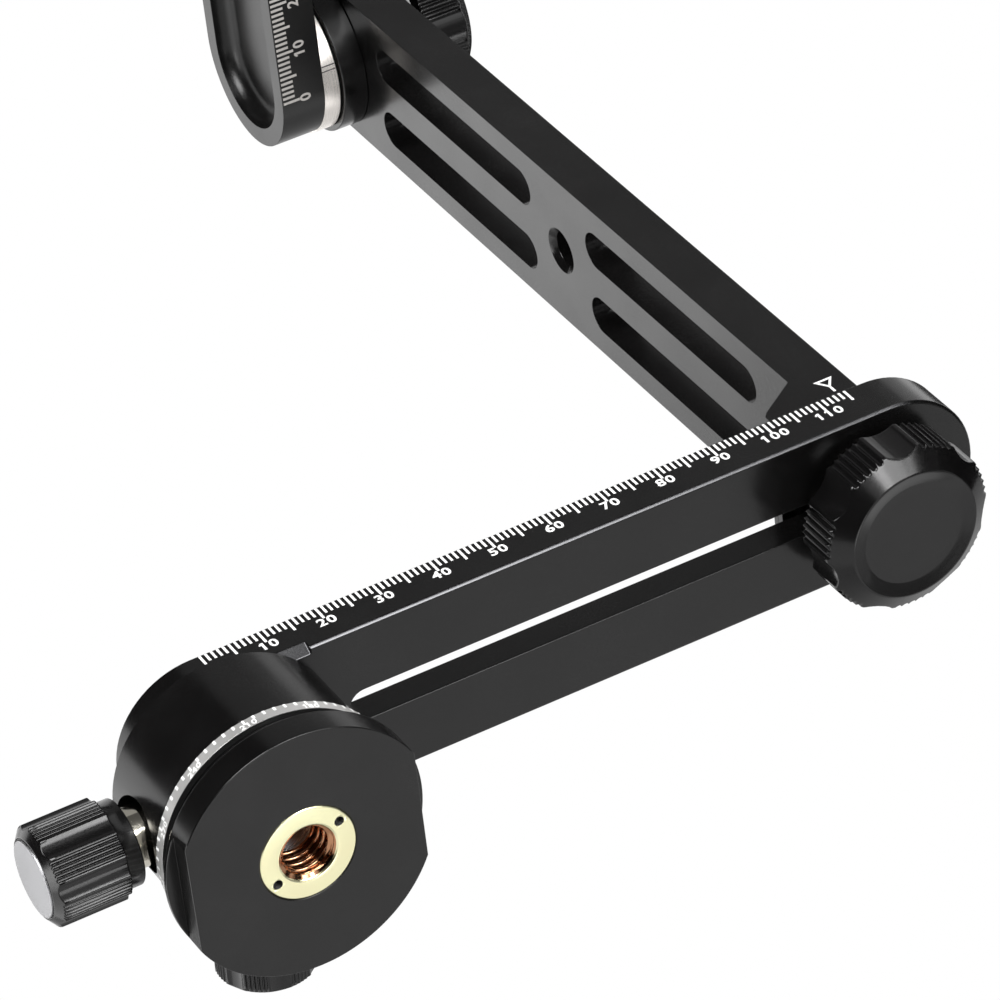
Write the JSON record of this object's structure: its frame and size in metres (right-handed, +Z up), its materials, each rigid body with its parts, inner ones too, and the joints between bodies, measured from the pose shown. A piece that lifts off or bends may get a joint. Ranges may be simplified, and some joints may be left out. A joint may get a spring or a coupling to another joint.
{
  "type": "panoramic tripod head",
  "caption": "Panoramic tripod head: a pan base with degree ring, a slotted scale rail with a sliding upright, and a tilting camera plate, all locked by fluted knobs.",
  "frame": {"origin": "centre of the tripod thread's mouth, in the plane of the base disc's underside", "axes": "+Z up along the pan axis, +X along the rail from the pan axis to the upright; the rail's scale is on the -Y side"},
  "size_m": [0.1711, 0.1567, 0.2164],
  "materials": {
    "black_anodised": "satin black anodised, milled and bead-blasted",
    "black_knob": "turned and fluted, satin black anodised",
    "silver_anodised": "turned, clear anodised",
    "brass": "turned, bright",
    "bronze": "sintered bearing bronze",
    "nickel": "bright nickel plate",
    "steel": "turned stainless steel",
    "black_screw": "black oxide",
    "nylon": "plain moulded nylon"
  },
  "bodies": {
    "base": {"base_plate": "black_anodised", "tripod_bush": "brass", "pan_spindle": "steel", "spindle_screws": "steel", "pan_scale_ring": "silver_anodised", "thrust_washer": "bronze", "click_wheel": "steel", "wave_washer": "steel", "spindle_nut": "steel"},
    "pan_stage": {"pan_housing": "black_anodised", "pan_bush": "bronze", "lower_rail": "black_anodised", "rail_screws": "black_screw", "click_guide": "nickel"},
    "pan_lock_shoe": {"brake_shoe": "bronze"},
    "pan_lock_control": {"pan_lock_screw": "nickel", "pan_lock_sleeve": "nickel", "pan_lock_knob": "black_knob", "pan_lock_cap": "silver_anodised"},
    "click_pin": {"click_plunger": "steel"},
    "click_control": {"click_knob": "black_knob", "click_knob_cap": "silver_anodised"},
    "upright": {"upright_arm": "black_anodised", "slide_key": "steel", "key_screws": "steel", "tilt_boss": "black_anodised", "tilt_bush": "bronze"},
    "rail_clamp_pad": {"clamp_washer": "nickel"},
    "rail_clamp_control": {"clamp_screw": "steel", "clamp_knob": "black_knob"},
    "tilt_head": {"camera_plate": "black_anodised", "tilt_scale_ring": "silver_anodised", "ring_screws": "steel", "tilt_spindle": "steel", "tilt_washer": "nylon"},
    "tilt_lock_pad": {"tilt_lock_washer": "nickel"},
    "tilt_lock_control": {"tilt_lock_knob": "black_knob"},
    "camera_slide": {"camera_washer": "nylon"},
    "camera_fixing": {"camera_screw": "nickel"}
  },
  "joints": [
    {"name": "pan_turn", "type": "hinge", "parent": "base", "child": "pan_stage", "pos_m": [0, 0, 0], "axis": [0, 0, 1], "continuous": true},
    {"name": "pan_lock_travel", "type": "slide", "parent": "pan_stage", "child": "pan_lock_shoe", "axis": [-1, 0, 0], "range_m": [-0.00027, 0.0008]},
    {"name": "pan_lock_turn", "type": "hinge", "parent": "pan_lock_shoe", "child": "pan_lock_control", "pos_m": [0, 0, 0.0191], "axis": [-1, 0, 0], "range_deg": [-120, 360]},
    {"name": "click_travel", "type": "slide", "parent": "pan_stage", "child": "click_pin", "axis": [-0.0471, 0.9989, 0], "range_m": [-0.000799, 0]},
    {"name": "click_turn", "type": "hinge", "parent": "click_pin", "child": "click_control", "pos_m": [0, 0, 0.0191], "axis": [-0.0471, 0.9989, 0], "range_deg": [-90, 0]},
    {"name": "upright_slide", "type": "slide", "parent": "pan_stage", "child": "upright", "axis": [1, 0, 0], "range_m": [-0.078, 0.0015]},
    {"name": "rail_clamp_travel", "type": "slide", "parent": "upright", "child": "rail_clamp_pad", "axis": [0, 0, -1], "range_m": [0, 0.000799]},
    {"name": "rail_clamp_turn", "type": "hinge", "parent": "rail_clamp_pad", "child": "rail_clamp_control", "pos_m": [0.11505, 0, 0], "axis": [0, 0, -1], "range_deg": [0, 360]},
    {"name": "tilt_turn", "type": "hinge", "parent": "upright", "child": "tilt_head", "pos_m": [0.1, 0, 0.2016], "axis": [1, 0, 0], "continuous": true},
    {"name": "tilt_lock_travel", "type": "slide", "parent": "tilt_head", "child": "tilt_lock_pad", "axis": [1, 0, 0], "range_m": [0, 0.000937]},
    {"name": "tilt_lock_turn", "type": "hinge", "parent": "tilt_lock_pad", "child": "tilt_lock_control", "pos_m": [0.12, 0, 0.2016], "axis": [1, 0, 0], "range_deg": [0, 270]},
    {"name": "camera_screw_slide", "type": "slide", "parent": "tilt_head", "child": "camera_slide", "axis": [0, 1, 0], "range_m": [-0.034, 0.034]},
    {"name": "camera_screw_turn", "type": "hinge", "parent": "camera_slide", "child": "camera_fixing", "pos_m": [0.1, -0.076, 0.2016], "axis": [-1, 0, 0], "continuous": true}
  ],
  "couplings": [
    {"joint": "pan_lock_turn", "follows": "pan_lock_travel", "rad_per_m": 7854},
    {"joint": "click_turn", "follows": "click_travel", "rad_per_m": 1963.5},
    {"joint": "rail_clamp_turn", "follows": "rail_clamp_travel", "rad_per_m": 7854},
    {"joint": "tilt_lock_turn", "follows": "tilt_lock_travel", "rad_per_m": 5026.5}
  ]
}
